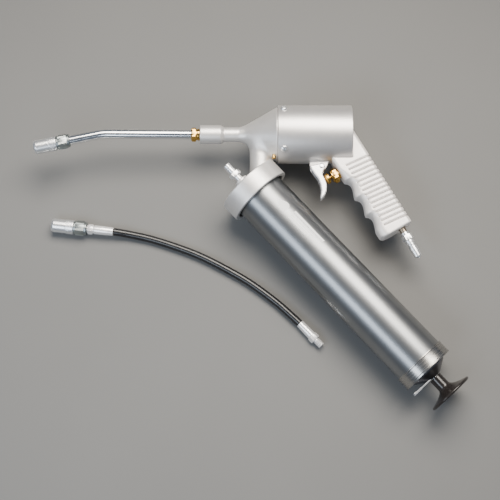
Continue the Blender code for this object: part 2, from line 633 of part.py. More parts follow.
def handle_profile(bore):
    """Pull handle: round neck that flares into a flat disc, with a blind bore for the rod."""
    points = [(0, HANDLE_END), (HANDLE_R - 1.6, HANDLE_END), (HANDLE_R, HANDLE_END - 1.4),
              (HANDLE_R - 1.0, HANDLE_END - 3.0)]
    flare_start, neck = HANDLE_END - 12.5, 6.9
    for i in range(1, 7):
        fraction = i / 6
        points.append((neck + (HANDLE_R - 2.0 - neck) * (1 - fraction) ** 2.2,
                       HANDLE_END - 3.2 - (HANDLE_END - 3.2 - flare_start) * fraction))
    points += [(neck, HANDLE_START + 0.6), (neck - 0.6, HANDLE_START), (bore, HANDLE_START),
               (bore, ROD_END + GAP), (0, ROD_END + GAP)]
    return points


# ---------------------------------------------------------------- loose hose

def smooth_route(route, count):
    """Evenly spaced points on a smooth curve through the route's own points."""
    route = [Vector(point) for point in route]
    dense = []
    for i in range(len(route) - 1):
        before = route[i - 1] if i else 2 * route[0] - route[1]
        after = route[i + 2] if i + 2 < len(route) else 2 * route[-1] - route[-2]
        for k in range(20):
            t = k / 20
            dense.append(0.5 * (2 * route[i] + (route[i + 1] - before) * t
                                + (2 * before - 5 * route[i] + 4 * route[i + 1] - after) * t ** 2
                                + (3 * route[i] - before - 3 * route[i + 1] + after) * t ** 3))
    dense.append(route[-1])
    reach = [0.0]
    for a, b in zip(dense, dense[1:]):
        reach.append(reach[-1] + (b - a).length)
    points = []
    for i in range(count):
        target = reach[-1] * i / (count - 1)
        j = max(k for k in range(len(reach)) if reach[k] <= target + 1e-9)
        k = min(j + 1, len(dense) - 1)
        span = reach[k] - reach[j] or 1.0
        points.append(dense[j].lerp(dense[k], (target - reach[j]) / span))
    return points


def hose_parts():
    bench = frame_at("hose_place", None, (0, 0, 0), Matrix.Identity(3))
    coupler_end = axis_frame("hose_coupler_axis", bench, HOSE_COUPLER_AT, HOSE_COUPLER_ANGLE,
                             HOSE_COUPLER_Z)
    sleeve_end = axis_frame("hose_nose_axis", bench, HOSE_COUPLER_AT, HOSE_COUPLER_ANGLE,
                            HOSE_COUPLER_Z)
    coupler("hose_", coupler_end, 3.3, sleeve_end)
    ferrule = turned("hose_coupler_ferrule", coupler_end, [
        (0, 8.6), (3.0, 8.6), (3.0, -GAP), (4.4, -GAP), (4.4, -7.0), (4.9, -8.0), (4.9, -16.0),
        (4.4, -29.0), (0, -29.0)], ZINC)
    hexagon = prism("ferrule_hexagon", coupler_end, 9.8, -6.6, -1.2)
    bore = drill("ferrule_bore", coupler_end, (0, 0, -30), (0, 0, 10), 1.2, 12)
    union(ferrule, hexagon)
    cut(ferrule, bore)
    thread_end = axis_frame("hose_thread_axis", bench, HOSE_END_AT, HOSE_END_ANGLE, HOSE_END_Z)
    fitting = turned("hose_end_fitting", thread_end, [
        (0, 33.6), (3.4, 33.6), (3.9, 32.8), (3.9, 26.0), (3.3, 25.6), (3.3, 24.9), (4.6, 24.0),
        (4.7, 17.0), (4.3, 2.0), (4.1, 0.2), (0, 0.2)], ZINC)
    hexagon = prism("fitting_hexagon", thread_end, 9.8, 18.0, 24.4)
    bore = drill("fitting_bore", thread_end, (0, 0, -1), (0, 0, 35), 1.2, 12)
    union(fitting, hexagon)
    cut(fitting, bore)
    curve = tube_curve("hose_tube", smooth_route(HOSE_ROUTE, HOSE_POINTS), HOSE_R)
    hose = bpy.data.objects.new("hose_tube", curve)
    hose.parent = bench
    finish(hose, RUBBER)


# ---------------------------------------------------------------- whole gun

def build():
    gun = frame_at("gun_frame", None, GUN_ORIGIN, lying_on_its_side())
    motor = axis_frame("motor_axis", gun, (0, 0), 0)
    barrel = axis_frame("barrel_axis", gun, BARREL_TOP, BARREL_ANGLE)
    grip = axis_frame("grip_axis", gun, GRIP_TOP, GRIP_ANGLE)
    valve = axis_frame("valve_axis", gun, VALVE_AT, VALVE_ANGLE)
    inlet = axis_frame("inlet_axis", gun, INLET_AT, INLET_ANGLE)
    nose = axis_frame("coupler_axis", gun, COUPLER_AT, COUPLER_ANGLE)
    nose_sleeve = axis_frame("coupler_sleeve_axis", gun, COUPLER_AT, COUPLER_ANGLE)
    nipple = head_casting(gun, motor, barrel)
    motor_sleeve(gun, motor)
    sleeve_screws(motor)
    grip_casting(gun, motor, grip)
    motor_parts(motor)
    outlet_parts(motor)
    delivery_pipe(gun)
    coupler("", nose, PIPE_R + GAP, nose_sleeve)
    trigger_parts(gun)
    valve_parts(gun, valve)
    inlet_parts(inlet)
    filler_parts(nipple)
    vent_plug(gun)
    barrel_parts(barrel)
    follower_parts(barrel)
    hose_parts()
    for obj in PARTS.objects:
        if obj.type == "MESH":
            obj.data.shade_smooth()
            obj.data.set_sharp_from_angle(angle=radians(35))


clear_scene()
PARTS = collection("grease_gun")
CUTTERS = collection("cutters")
build()
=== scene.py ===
"""Looks of an air operated grease gun that lies on its side, with a loose flexible hose beside it.

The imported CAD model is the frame, and every piece here stands on it. Shapes are in millimetres in
the gun's own frame, as in the CAD: X runs along the air motor to the rear, the barrel and the grip
lie in the XY plane, and Z points away from the bench. An axis frame's Z runs along a piece's own
axis, its X points to the left of that axis, and its Y is the gun's Z.
"""
import json
from math import cos, pi, radians, sin, sqrt, tan

import bmesh
import bpy
import numpy as np
import openvdb
from mathutils import Matrix, Vector


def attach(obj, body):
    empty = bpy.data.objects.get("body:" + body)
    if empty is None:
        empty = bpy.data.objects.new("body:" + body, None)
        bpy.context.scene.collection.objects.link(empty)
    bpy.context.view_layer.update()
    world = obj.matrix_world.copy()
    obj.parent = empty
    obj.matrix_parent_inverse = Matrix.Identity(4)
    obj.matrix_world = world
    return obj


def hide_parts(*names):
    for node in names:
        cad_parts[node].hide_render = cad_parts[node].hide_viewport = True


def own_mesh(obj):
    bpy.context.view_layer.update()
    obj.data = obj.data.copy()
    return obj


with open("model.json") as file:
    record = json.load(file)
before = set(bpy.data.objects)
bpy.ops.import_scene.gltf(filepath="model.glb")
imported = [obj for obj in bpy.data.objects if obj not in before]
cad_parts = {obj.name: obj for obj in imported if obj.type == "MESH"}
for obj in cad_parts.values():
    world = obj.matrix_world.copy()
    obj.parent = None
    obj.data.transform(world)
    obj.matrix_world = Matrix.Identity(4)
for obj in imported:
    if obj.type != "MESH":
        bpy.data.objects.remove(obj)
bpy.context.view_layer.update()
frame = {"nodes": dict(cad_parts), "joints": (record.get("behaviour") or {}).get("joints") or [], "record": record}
JOINTS = {joint["name"]: joint for joint in frame["joints"]}
BODY_OF = {node: body for body, nodes in frame["record"]["behaviour"]["bodies"].items()
           for node in nodes}

MM = 0.001
GAP = 0.3
ROUND = 96                        # sides of a turned piece
VOXEL = 0.6
HEAD_VOXEL = max(VOXEL, 0.7)
TRIGGER_VOXEL = min(VOXEL, 0.5)

# Places and sizes that the CAD model has too
PIVOT = (47.4, -37.2)
SLEEVE_R, SLEEVE_BORE, SLEEVE_REAR = 31.7, 28.7, 80.2
SPIGOT_REAR, PISTON_FRONT = 14.0, 60.0
SCREW_X, SCREW_ANGLES = 6.6, (45, 135, 225, 315)
BOSS_FRONT, BOSS_REAR, BOSS_R = -84.1, -61.8, 10.2
NECK_FRONT, NECK_REAR, NECK_R = -58.0, -38.5, 7.9
RIM_R = 29.3
VENT_AT = (-4.2, -27.4, 9.0)
COLUMN_X, COLUMN_R = -18.8, 11.3
CHECK_BORE, CHECK_SEAT = 5.0, -58.0
BARREL_TOP, BARREL_ANGLE = (-32.4, -54.15), -47.04
COLLAR_R, COLLAR_LENGTH, COLLAR_MOUTH = 36.0, 20.5, 31.3
BARREL_R, BARREL_BORE = 28.5, 27.4
BARREL_START, BARREL_END = 7.3, 275.6
CAP_R, CAP_START, CAP_END = 30.0, 263.0, 277.6
DOME_R, DOME_START, DOME_TIP_R, DOME_END = 20.5, 278.8, 7.4, 287.0
ROD_R, ROD_START, ROD_END = 4.0, 11.0, 300.0
LOCK_LOW, LOCK_HIGH, LOCK_TAB, LOCK_FULCRUM = 284.9, 286.5, 28.7, 6.3
HANDLE_START, HANDLE_END, HANDLE_R = 287.4, 312.0, 25.5
NIPPLE_N, NIPPLE_Z = -7.6, 22.0
GRIP_TOP, GRIP_ANGLE, GRIP_END = (83.7, -0.4), -59.27, 115.0
GRIP_DEPTH, GRIP_HALF = 37.5, 13.0
FINGER_START, FINGER_PITCH, FINGER_COUNT, FINGER_DEPTH = 40.3, 21.8, 3, 4.3
INLET_AT, INLET_ANGLE = (132.7, -104.9), -60.9
TRIGGER_HALF, EAR_R, LUG_HALF = 6.3, 3.6, 4.0
VALVE_AT, VALVE_ANGLE = (50.9, -51.2), 25.5
PIPE_R, PIPE_START, PIPE_BEND, PIPE_BEND_R = 5.0, -88.6, (-190.6, 0.8), 60.0
COUPLER_AT, COUPLER_ANGLE = (-225.6, -6.6), -167.9
HOSE_R = 4.2
HOSE_COUPLER_AT, HOSE_COUPLER_ANGLE, HOSE_COUPLER_Z = (-176.1, 36.6), 173.2, 8.0
HOSE_END_AT, HOSE_END_ANGLE, HOSE_END_Z = (56.2, -69.2), -46.5, 5.0

# The loose hose's route on the bench, in metres
HOSE_ROUTE = (
    (-0.1466, 0.0331, 0.0080), (-0.1408, 0.0323, 0.0074), (-0.1293, 0.0304, 0.0056),
    (-0.1072, 0.0255, 0.0044), (-0.0796, 0.0166, 0.0043), (-0.0522, 0.0058, 0.0043),
    (-0.0248, -0.0083, 0.0043), (0.0024, -0.0245, 0.0043), (0.0294, -0.0447, 0.0044),
    (0.0455, -0.0591, 0.0048), (0.0560, -0.0690, 0.0050),
)

# Camera, in the gun's frame
VIEW_AT = (-29.8, -128.3)
VIEW_TILT = radians(12.4)
VIEW_DISTANCE = 1439.0
LENS = 97.2


# ---------------------------------------------------------------- frames

def along(point, angle, distance, across=0.0):
    """Point at a distance along an angle, and to the left of it by across."""
    a = radians(angle)
    return (point[0] + distance * cos(a) - across * sin(a),
            point[1] + distance * sin(a) + across * cos(a))


def gun_frame():
    """Matrix from the gun's millimetres to the row frame, taken from the record's joints."""
    x_axis = -Vector(JOINTS["piston_stroke"]["axis"])
    z_axis = Vector(JOINTS["trigger_pull"]["axis"])
    turn = Matrix((x_axis, z_axis.cross(x_axis), z_axis)).transposed()
    origin = Vector(JOINTS["trigger_pull"]["pos_m"]) - turn @ Vector((*PIVOT, 0)) * MM
    return Matrix.Translation(origin) @ turn.to_4x4() @ Matrix.Scale(MM, 4)


def axis(point, angle, z=0.0):
    a = radians(angle)
    return Matrix(((-sin(a), 0, cos(a), point[0]), (cos(a), 0, sin(a), point[1]),
                   (0, 1, 0, z), (0, 0, 0, 1)))


GUN = gun_frame()
BENCH = Matrix.Scale(MM, 4)
MOTOR = GUN @ axis((0, 0), 0)
BARREL = GUN @ axis(BARREL_TOP, BARREL_ANGLE)
VALVE = GUN @ axis(VALVE_AT, VALVE_ANGLE)
INLET = GUN @ axis(INLET_AT, INLET_ANGLE)
OUTLET = GUN @ axis((BOSS_FRONT, 0), 180)
NOSE = GUN @ axis(COUPLER_AT, COUPLER_ANGLE)
NIPPLE = (BARREL @ Matrix.Translation((NIPPLE_N, NIPPLE_Z, -3.0 - GAP))
          @ Matrix.Rotation(pi, 4, "X"))
VENT = GUN @ Matrix.Translation(VENT_AT) @ Matrix.Rotation(pi / 2, 4, "X")
TRIGGER = GUN @ Matrix.Translation((*PIVOT, 0))
LOCK = BARREL @ Matrix.Translation((LOCK_FULCRUM, 0, LOCK_LOW))
HOSE_NOSE = BENCH @ axis(HOSE_COUPLER_AT, HOSE_COUPLER_ANGLE, HOSE_COUPLER_Z)
HOSE_THREAD = BENCH @ axis(HOSE_END_AT, HOSE_END_ANGLE, HOSE_END_Z)


# ---------------------------------------------------------------- materials

# Spans of pointiness, which is 0.5 on a flat face
EDGES, HOLLOWS = (0.52, 0.60), (0.43, 0.485)


def surface(name, colour, metallic, roughness, *, grain=2.0, relief=0.0, spread=0.06,
            stretch=(1, 1, 1), patch=0.05, patches=0.06, edge_highlight=0.0, hollow_shade=0.0, coat=0.0, unit=1.0):
    """Procedural finish: grain and patch are noises per millimetre, and relief is in metres; edges can be
    lightened as a painted highlight, and hollows darkened as painted shade.

    The unit is how many millimetres one unit of the mesh is, and stretch draws the grain out."""
    made = bpy.data.materials.new(name)
    made.use_nodes = True
    tree = made.node_tree
    shader = tree.nodes["Principled BSDF"]
    shader.inputs["Metallic"].default_value = metallic
    shader.inputs["Coat Weight"].default_value = coat
    shader.inputs["Coat Roughness"].default_value = 0.12

    def node(kind, **sockets):
        new = tree.nodes.new(kind)
        for label, value in sockets.items():
            socket = new.inputs[label.replace("_", " ")]
            if isinstance(value, bpy.types.NodeSocket):
                tree.links.new(value, socket)
            else:
                socket.default_value = value
        return new

    def tinted(base, other, span, amount):
        """Colour that mixes with another one by two amounts, at two ends of pointiness."""
        pointiness = node("ShaderNodeNewGeometry").outputs["Pointiness"]
        share = node("ShaderNodeMapRange", Value=pointiness, From_Min=span[0], From_Max=span[1],
                     To_Min=amount[0], To_Max=amount[1])
        mix = tree.nodes.new("ShaderNodeMix")
        mix.data_type = "RGBA"
        tree.links.new(share.outputs[0], mix.inputs["Factor"])
        tree.links.new(base, mix.inputs["A"])
        mix.inputs["B"].default_value = (*other, 1)
        return mix.outputs["Result"]

    place = node("ShaderNodeTexCoord").outputs["Object"]
    even = node("ShaderNodeMapping", Vector=place, Scale=(unit, unit, unit)).outputs[0]
    drawn = node("ShaderNodeMapping", Vector=even, Scale=stretch).outputs[0]
    fine = node("ShaderNodeTexNoise", Vector=drawn, Scale=grain, Detail=6.0, Roughness=0.65)
    broad = node("ShaderNodeTexNoise", Vector=even, Scale=patch, Detail=3.0)
    shade = node("ShaderNodeMapRange", Value=broad.outputs[0], From_Min=0.3, From_Max=0.7,
                 To_Min=1.0 - patches, To_Max=1.0 + patches).outputs[0]
    speck = node("ShaderNodeMapRange", Value=fine.outputs[0], From_Min=0.3, From_Max=0.7,
                 To_Min=1.0 - patches * 0.5, To_Max=1.0 + patches * 0.5).outputs[0]
    level = tree.nodes.new("ShaderNodeMath")
    level.operation = "MULTIPLY"
    tree.links.new(shade, level.inputs[0])
    tree.links.new(speck, level.inputs[1])
    tone = tree.nodes.new("ShaderNodeVectorMath")
    tone.operation = "SCALE"
    tone.inputs[0].default_value = colour
    tree.links.new(level.outputs[0], tone.inputs["Scale"])
    final = tone.outputs[0]
    # Painted highlight: edges, found by their pointiness, are mixed towards a lighter colour.
    if edge_highlight:
        highlight_colour = [min(1.0, c * 1.25 + 0.05) for c in colour]
        final = tinted(final, highlight_colour, EDGES, (0.0, edge_highlight))
    # Painted shade: hollows, found by their pointiness, are mixed towards a darker colour.
    if hollow_shade:
        shade_colour = [0.18 * c for c in colour]
        final = tinted(final, shade_colour, HOLLOWS, (hollow_shade, 0.0))
    tree.links.new(final, shader.inputs["Base Color"])
    tree.links.new(node("ShaderNodeMapRange", Value=fine.outputs[0], From_Min=0.3, From_Max=0.7,
                        To_Min=max(0.02, roughness - spread),
                        To_Max=roughness + spread).outputs[0], shader.inputs["Roughness"])
    if relief:
        bump = node("ShaderNodeBump", Height=fine.outputs[0], Distance=relief, Strength=1.0)
        tree.links.new(bump.outputs[0], shader.inputs["Normal"])
    return made


# Several finishes below lighten their edges with a painted highlight.
CAST = surface("cast_head", (0.83, 0.81, 0.79), 0.70, 0.40, grain=1.5, relief=1.6e-4,
               patches=0.06, edge_highlight=0.15)
# The grip's grooves and hollows are darkened with painted shade.
CAST_GRIP = surface("cast_grip", (0.97, 0.93, 0.90), 0.35, 0.42, grain=1.2, relief=1.2e-4,
                    patches=0.04, edge_highlight=0.12, hollow_shade=0.8)
SATIN = surface("satin_sleeve", (0.76, 0.74, 0.725), 0.8, 0.40, grain=2.2, relief=1.6e-5,
                stretch=(0.06, 0.06, 1.4), patches=0.03)
ZINC = surface("zinc_plate", (0.94, 0.955, 0.965), 0.88, 0.30, grain=1.2, relief=1.0e-5,
               stretch=(0.2, 0.2, 1.0), spread=0.04, patches=0.05)
BRIGHT = surface("bright_plate", (0.84, 0.86, 0.88), 1.0, 0.16, grain=1.2, relief=1.0e-5,
                 stretch=(0.2, 0.2, 1.0), spread=0.04, patches=0.05)
KNURLED = surface("knurled_plate", (0.38, 0.42, 0.42), 1.0, 0.36, grain=2.5, relief=4.0e-5,
                  patches=0.30, edge_highlight=0.9)
SATIN_PLATE = surface("satin_plate", (0.96, 0.955, 0.95), 0.55, 0.26, grain=2.0, relief=2.0e-5,
                      patches=0.05, edge_highlight=0.3)
BRASS = surface("machined_brass", (0.74, 0.45, 0.11), 1.0, 0.20, grain=1.6, relief=1.5e-5,
                stretch=(0.2, 0.2, 1.2), patches=0.12, edge_highlight=0.3)
OLD_BRASS = surface("dull_brass", (0.40, 0.33, 0.25), 1.0, 0.36, grain=1.6, relief=2.0e-5,
                    patches=0.15)
GUNMETAL = surface("barrel_lacquer", (0.258, 0.266, 0.274), 0.95, 0.33, grain=0.1, relief=0,
                   patch=0.02, patches=0.05, spread=0.01, coat=0.3)
CAP_STEEL = surface("cap_steel", (0.40, 0.39, 0.375), 1.0, 0.27, grain=1.2, relief=0.6e-5,
                    stretch=(0.06, 0.06, 1.0), patches=0.05, edge_highlight=0.35)
# Darker copy of the cap's steel for the dome: painted shade, as the dome faces away from the light.
DOME_SHADED = surface("dome_painted_shade", (0.20, 0.20, 0.22), 1.0, 0.34, grain=1.2, relief=2.0e-5,
                     patches=0.12)
GLOSS_BLACK = surface("black_gloss", (0.020, 0.017, 0.016), 0.0, 0.18, grain=0.5, relief=1.2e-5,
                      patches=0.15, spread=0.05)
SEAL = surface("seal_rubber", (0.02, 0.02, 0.02), 0.0, 0.5, grain=1.5, relief=2.0e-5,
               patches=0.2)
STEEL = surface("ground_steel", (0.55, 0.56, 0.58), 1.0, 0.26, grain=1.5, relief=1.0e-5,
                stretch=(0.2, 0.2, 1.2), patches=0.08)
PRINT = surface("white_print", (0.97, 0.97, 0.96), 0.0, 0.35, grain=3.0, relief=0,
                patches=0.03)

# For meshes in metres
CAD_STEEL = surface("cad_steel", (0.55, 0.56, 0.58), 1.0, 0.26, grain=1.5, relief=1.0e-5,
                    patches=0.08, unit=1000.0)
CAD_BRASS = surface("cad_brass", (0.78, 0.54, 0.20), 1.0, 0.25, grain=1.5, relief=1.0e-5,
                    patches=0.10, unit=1000.0)
CAD_SEAL = surface("cad_seal", (0.02, 0.02, 0.02), 0.0, 0.5, grain=1.5, relief=2.0e-5,
                   patches=0.2, unit=1000.0)
HOSE_RUBBER = surface("hose_rubber", (0.012, 0.012, 0.013), 0.0, 0.27, grain=1.0,
                      relief=2.0e-5, patches=0.20, spread=0.05, unit=1000.0)


# ---------------------------------------------------------------- meshes

def mesh_from(bm, name):
    mesh = bpy.data.meshes.new(name)
    bm.to_mesh(mesh)
    bm.free()
    return mesh


def piece(name, mesh, matrix, node, look, replaces=True, sharp=35):
    """Put a mesh in its place with a material, on the body of a CAD node, which it stands for."""
    obj = bpy.data.objects.new(name, mesh)
    bpy.context.scene.collection.objects.link(obj)
    obj.matrix_world = matrix
    mesh.materials.clear()
    mesh.materials.append(look)
    mesh.shade_smooth()
    mesh.set_sharp_from_angle(angle=radians(sharp))
    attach(obj, BODY_OF[node])
    if replaces:
        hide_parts(node)
    return obj


def dress(node, look):
    """Give a CAD node that stays visible its material."""
    materials = frame["nodes"][node].data.materials
    materials.clear()
    materials.append(look)


def rounded(points, radius, closed, steps=4):
    """Outline whose corners are arcs; a point's own third value is its radius instead."""
    count, result = len(points), []
    for i, point in enumerate(points):
        here = Vector(point[:2])
        if not closed and i in (0, count - 1):
            result.append(here)
            continue
        back = Vector(points[i - 1][:2]) - here
        ahead = Vector(points[(i + 1) % count][:2]) - here
        own = point[2] if len(point) > 2 else radius
        bend = back.angle(ahead)
        if own <= 0 or bend > radians(172):
            result.append(here)
            continue
        reach = min(own / tan(bend / 2), 0.45 * back.length, 0.45 * ahead.length)
        first, last = here + back.normalized() * reach, here + ahead.normalized() * reach
        for k in range(steps + 1):
            t = k / steps
            result.append(first * (1 - t) ** 2 + here * 2 * t * (1 - t) + last * t ** 2)
    return result


def divided(outline, closed, longest):
    result = []
    ends = outline[1:] + ([outline[0]] if closed else [])
    for a, b in zip(outline, ends):
        parts = max(1, int((b - a).length / longest))
        result += [a.lerp(b, k / parts) for k in range(parts)]
    return result if closed else result + [outline[-1]]


def turned(points, corner=0.3, steps=ROUND, flats=None, relief=None, longest=None):
    """Mesh turned about Z: (radius, height) points that run down its outer side.

    It is cut to a hexagon of that size across flats, and relief adds to the radius."""
    closed = points[0][0] > 0
    outline = rounded(points, corner, closed)
    if longest:
        outline = divided(outline, closed, longest)
    bm = bmesh.new()
    rings = []
    for r, z in outline:
        if r < 1e-6:
            rings.append([bm.verts.new((0, 0, z))])
            continue
        circle = []
        for i in range(steps):
            a = 2 * pi * i / steps
            reach = r
            if flats:
                reach = min(r, flats / 2 / cos(a % (pi / 3) - pi / 6))
            if relief:
                reach += relief(a, r, z)
            circle.append(bm.verts.new((reach * cos(a), reach * sin(a), z)))
        rings.append(circle)
    for upper, lower in zip(rings, rings[1:] + ([rings[0]] if closed else [])):
        for i in range(steps):
            j = (i + 1) % steps
            if len(upper) == 1:
                bm.faces.new((upper[0], lower[i], lower[j]))
            elif len(lower) == 1:
                bm.faces.new((upper[i], lower[0], upper[j]))
            else:
                bm.faces.new((upper[i], lower[i], lower[j], upper[j]))
    return mesh_from(bm, "turned")


def rod(low, high, radius):
    return [(0, high), (radius, high), (radius, low), (0, low)]


def ring(low, high, bore, radius):
    return [(radius, high), (radius, low), (bore, low), (bore, high)]


def hexagon(across, low, high, chamfer=0.5):
    """Outline of a chamfered hexagon for turned(), as a stretch between two heights."""
    corner = across / 2 / cos(pi / 6)
    face = across / 2 * 0.985
    return [(face, high, 0), (corner, high - chamfer, 0), (corner, low + chamfer, 0),
            (face, low, 0)]


def extruded(outline, low, high, bevel=0.5):
    """Flat outline in XY, thickened along Z, with its rims bevelled."""
    bm = bmesh.new()
    floor = bm.faces.new([bm.verts.new((x, y, low)) for x, y in outline])
    grown = bmesh.ops.extrude_face_region(bm, geom=[floor])
    top = [v for v in grown["geom"] if isinstance(v, bmesh.types.BMVert)]
    bmesh.ops.translate(bm, verts=top, vec=(0, 0, high - low))
    bmesh.ops.recalc_face_normals(bm, faces=bm.faces)
    if bevel:
        rims = [e for e in bm.edges if abs(e.verts[0].co.z - e.verts[1].co.z) < 1e-6]
        bmesh.ops.bevel(bm, geom=rims, offset=bevel, segments=3, profile=0.5, affect="EDGES")
    return mesh_from(bm, "extruded")


def swept(points, radius, sides=12):
    """Round bar along a run of points, with closed ends."""
    curve = bpy.data.curves.new("swept", "CURVE")
    curve.dimensions = "3D"
    curve.bevel_depth = radius
    curve.bevel_resolution = sides
    curve.use_fill_caps = True
    spline = curve.splines.new("POLY")
    spline.points.add(len(points) - 1)
    for point, spot in zip(spline.points, points):
        point.co = (*spot, 1)
    holder = bpy.data.objects.new("swept", curve)
    bpy.context.scene.collection.objects.link(holder)
    mesh = bpy.data.meshes.new_from_object(
        holder.evaluated_get(bpy.context.evaluated_depsgraph_get()))
    bpy.data.objects.remove(holder, do_unlink=True)
    bm = bmesh.new()
    bm.from_mesh(mesh)
    bmesh.ops.remove_doubles(bm, verts=bm.verts, dist=1e-4)
    bmesh.ops.recalc_face_normals(bm, faces=bm.faces)
    return mesh_from(bm, "swept")


def coil(radius, wire, turns, low, high, per_turn=28):
    low, high, count = low + wire, high - wire, turns * per_turn
    points = [(radius * cos(2 * pi * i / per_turn), radius * sin(2 * pi * i / per_turn),
               low + (high - low) * i / count) for i in range(count + 1)]
    return swept(points, wire, 3)


def joined(*meshes):
    bm = bmesh.new()
    for mesh in meshes:
        bm.from_mesh(mesh)
    return mesh_from(bm, "joined")


def moved(mesh, matrix):
    mesh.transform(matrix)
    return mesh


def carved(mesh, *tools):
    """Mesh with each of the tools cut out of it."""
    holders = []
    for item in (mesh, *tools):
        holder = bpy.data.objects.new("holder", item)
        bpy.context.scene.collection.objects.link(holder)
        holders.append(holder)
    for tool in holders[1:]:
        step = holders[0].modifiers.new("carve", "BOOLEAN")
        step.operation = "DIFFERENCE"
        step.object = tool
        step.solver = "EXACT"
    result = bpy.data.meshes.new_from_object(
        holders[0].evaluated_get(bpy.context.evaluated_depsgraph_get()))
    for holder in holders:
        bpy.data.objects.remove(holder, do_unlink=True)
    return result


def spring(name, node, place, coil_r, wire, turns, fixed, free):
    """Coil between two heights of an axis, its fixed and its free end."""
    low, high = sorted((fixed, free))
    obj = piece(name, coil(coil_r, wire, turns, low, high), place, node, STEEL)
    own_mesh(obj)


# ---------------------------------------------------------------- cast shapes

def outline_distance(a, b, points):
    """Signed distance, negative inside, from a closed outline in the plane of a and b."""
    nearest, inside = None, False
    for (a0, b0), (a1, b1) in zip(points, points[1:] + points[:1]):
        edge_a, edge_b = a1 - a0, b1 - b0
        from_a, from_b = a - a0, b - b0
        t = np.clip((from_a * edge_a + from_b * edge_b) / (edge_a ** 2 + edge_b ** 2), 0, 1)
        gap = (from_a - edge_a * t) ** 2 + (from_b - edge_b * t) ** 2
        nearest = gap if nearest is None else np.minimum(nearest, gap)
        side = edge_a * from_b - edge_b * from_a
        crossing = np.where(b1 > b0, side > 0, side < 0) & ((b >= b0) != (b >= b1))
        inside = np.logical_xor(inside, crossing)
    return np.where(inside, -1.0, 1.0) * np.sqrt(nearest)


def blended(a, b, reach):
    """Union of two distances with a fillet."""
    h = np.maximum(reach - np.abs(a - b), 0.0) / reach
    return np.minimum(a, b) - h * h * reach / 4


def edged(a, b, edge):
    """Where two distances are both inside, with a rounded edge between them."""
    a, b = a + edge, b + edge
    return (np.sqrt(np.maximum(a, 0) ** 2 + np.maximum(b, 0) ** 2)
            + np.minimum(np.maximum(a, b), 0) - edge)


def smooth_step(value, low, high):
    t = np.clip((value - low) / (high - low), 0, 1)
    return t * t * (3 - 2 * t)


def axis_terms(x, y, point, angle):
    """Distance along an axis in the gun's plane, and to the left of it."""
    a = radians(angle)
    return ((x - point[0]) * cos(a) + (y - point[1]) * sin(a),
            (y - point[1]) * cos(a) - (x - point[0]) * sin(a))


def cast(field, low, high, voxel=VOXEL):
    """Skin of a signed distance field, sampled between two corners in millimetres."""
    spots = [np.arange(a, b + voxel, voxel) for a, b in zip(low, high)]
    x, y, z = np.meshgrid(*spots, indexing="ij", sparse=True)
    values = np.broadcast_to(field(x, y, z), [len(s) for s in spots]).astype(np.float32)
    grid = openvdb.FloatGrid(background=float(4 * voxel))
    grid.copyFromArray(np.ascontiguousarray(values))
    points, triangles, quads = grid.convertToPolygons(isovalue=0.0, adaptivity=0.0)
    mesh = bpy.data.meshes.new("cast")
    faces = [list(map(int, f)) for f in triangles] + [list(map(int, f)) for f in quads]
    mesh.from_pydata((np.array(points) * voxel + np.array(low)).tolist(), [], faces)
    bm = bmesh.new()
    bm.from_mesh(mesh)
    bmesh.ops.recalc_face_normals(bm, faces=bm.faces)
    return mesh_from(bm, "cast")


def head_field(x, y, z):
    edge = 0.8
    r = np.sqrt(y * y + z * z)
    cone = outline_distance(r, x, [
        (-20, SPIGOT_REAR - edge), (SLEEVE_BORE - GAP - edge, SPIGOT_REAR - edge),
        (SLEEVE_BORE - GAP - edge, -edge), (RIM_R - edge, -edge),
        (NECK_R - edge, NECK_REAR), (-20, NECK_REAR)]) - edge
    neck = outline_distance(r, x, [
        (-20, NECK_REAR + 8), (NECK_R - edge, NECK_REAR + 8), (NECK_R - edge, NECK_FRONT),
        (BOSS_R - edge, BOSS_REAR), (BOSS_R - edge, BOSS_FRONT + edge),
        (-20, BOSS_FRONT + edge)]) - edge
    t, n = axis_terms(x, y, BARREL_TOP, BARREL_ANGLE)
    column = np.maximum(np.sqrt((x - COLUMN_X) ** 2 + z * z) - COLUMN_R,
                        np.maximum(y + 4.0, t - 4.0))
    rim, shift = 0.9, 0.6
    reach = np.sqrt(n * n + z * z)
    top, foot = rim + shift, COLLAR_LENGTH + shift - rim
    collar = outline_distance(reach, t, [
        (-20, top), (COLLAR_R - rim, top), (COLLAR_R - rim, foot), (-20, foot)]) - rim
    pad = np.maximum(np.sqrt((n - NIPPLE_N) ** 2 + (z - NIPPLE_Z) ** 2) - 7.3,
                     np.maximum(-2.9 - t, t - 2.0))
    body = blended(blended(cone, neck, 3.0), column, 7.0)
    body = blended(body, blended(collar, pad, 1.6), 3.5)
    mouth = outline_distance(reach, t, [
        (-20, 5.0), (BARREL_R + GAP, 5.0), (BARREL_R + GAP, 13.4), (COLLAR_MOUTH, 14.4),
        (COLLAR_MOUTH, COLLAR_LENGTH + 4), (-20, COLLAR_LENGTH + 4)])
    bores = outline_distance(r, x, [
        (-20, SPIGOT_REAR + 4), (8.0, SPIGOT_REAR + 4), (8.0, 2.0), (4.2, 2.0),
        (4.2, CHECK_SEAT), (CHECK_BORE, CHECK_SEAT), (CHECK_BORE, BOSS_FRONT - 4),
        (-20, BOSS_FRONT - 4)])
    return np.maximum(body, -np.minimum(mouth, bores))


RIB_PITCH, RIB_COUNT, RIB_ANGLE = 5.42, 15, 25.0
RIB_FIRST, RIB_FRONT = -65.7, -28.2
GROOVE_DEPTH, GROOVE_REACH = 2.0, 0.6
TOE, BUMP = 4.0, 0.3              # rounding of the front's far end, and between the fingers


